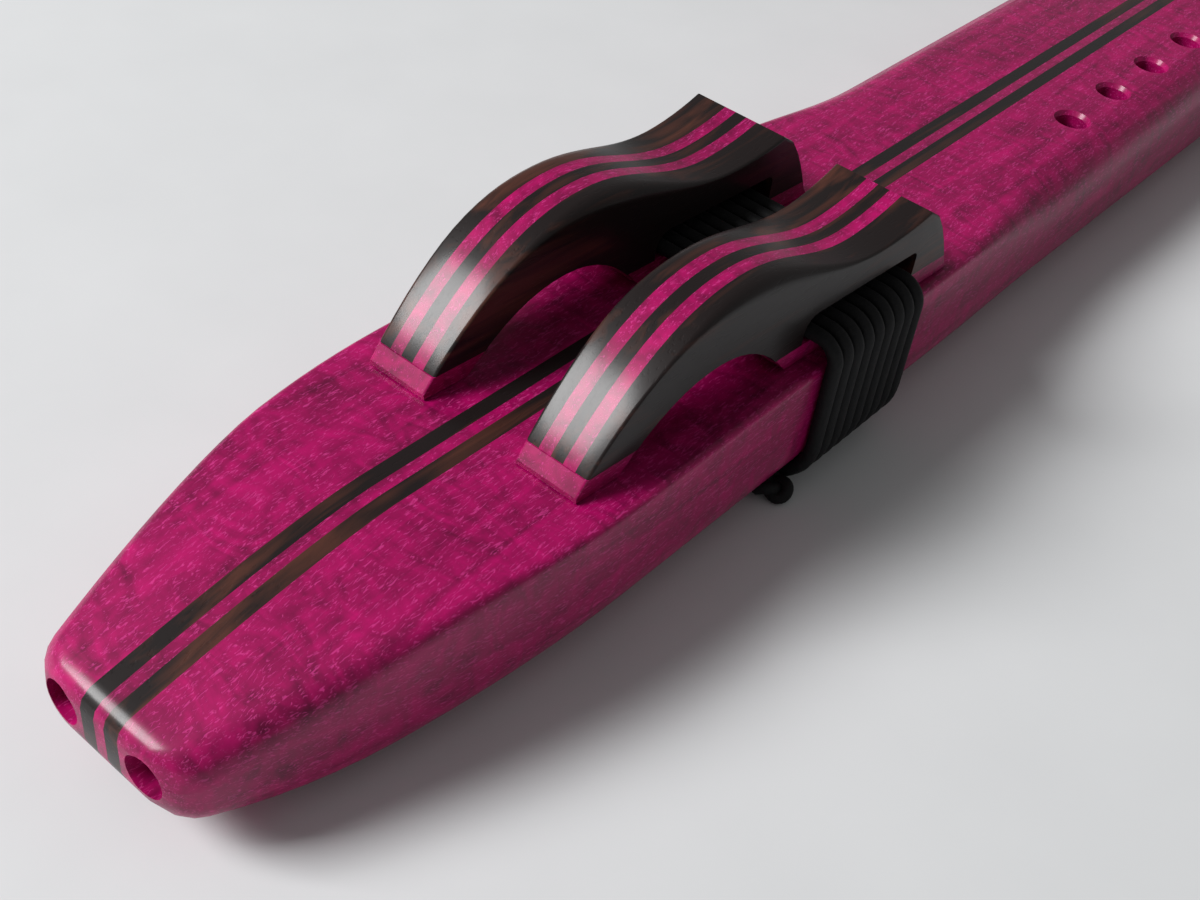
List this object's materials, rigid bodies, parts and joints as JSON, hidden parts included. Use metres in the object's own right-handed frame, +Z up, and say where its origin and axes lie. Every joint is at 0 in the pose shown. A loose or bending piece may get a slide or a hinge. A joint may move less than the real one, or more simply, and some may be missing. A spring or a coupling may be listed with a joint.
{
  "type": "double flute",
  "caption": "Double-barrelled wooden drone flute with two laminated, laced-down blocks, one tube with finger holes and one plain drone tube.",
  "frame": {"origin": "centre of the bounding box, at the height of the surface that the lacing and foot lie on", "axes": "+X along the flute from the blowing end to the open foot, +Y to the drone side, +Z up"},
  "size_m": [0.441, 0.0698, 0.0562],
  "materials": {
    "purpleheart": "oiled satin",
    "dark_walnut": "oiled satin",
    "black_leather": "matte"
  },
  "bodies": {
    "flute_body": {"drone_tube_upper": "purpleheart", "drone_tube_lower": "purpleheart", "melody_tube_upper": "purpleheart", "melody_tube_lower": "purpleheart", "drone_side_stripe": "dark_walnut", "centre_strip": "purpleheart", "melody_side_stripe": "dark_walnut", "lacing": "black_leather", "melody_side_knot": "black_leather", "drone_side_knot": "black_leather"},
    "drone_block": {"drone_block_tail_sole": "purpleheart", "drone_block_front_sole": "purpleheart", "drone_block_outer_dark_layer": "dark_walnut", "drone_block_outer_red_layer": "purpleheart", "drone_block_core_dark_layer": "dark_walnut", "drone_block_inner_red_layer": "purpleheart", "drone_block_inner_dark_layer": "dark_walnut"},
    "melody_block": {"melody_block_tail_sole": "purpleheart", "melody_block_front_sole": "purpleheart", "melody_block_outer_dark_layer": "dark_walnut", "melody_block_outer_red_layer": "purpleheart", "melody_block_core_dark_layer": "dark_walnut", "melody_block_inner_red_layer": "purpleheart", "melody_block_inner_dark_layer": "dark_walnut"}
  },
  "joints": [
    {"name": "drone_block_slide", "type": "slide", "parent": "flute_body", "child": "drone_block", "axis": [1, 0, 0], "range_m": [-0.0025, 0.0012]},
    {"name": "melody_block_slide", "type": "slide", "parent": "flute_body", "child": "melody_block", "axis": [1, 0, 0], "range_m": [-0.0025, 0.0012]}
  ]
}
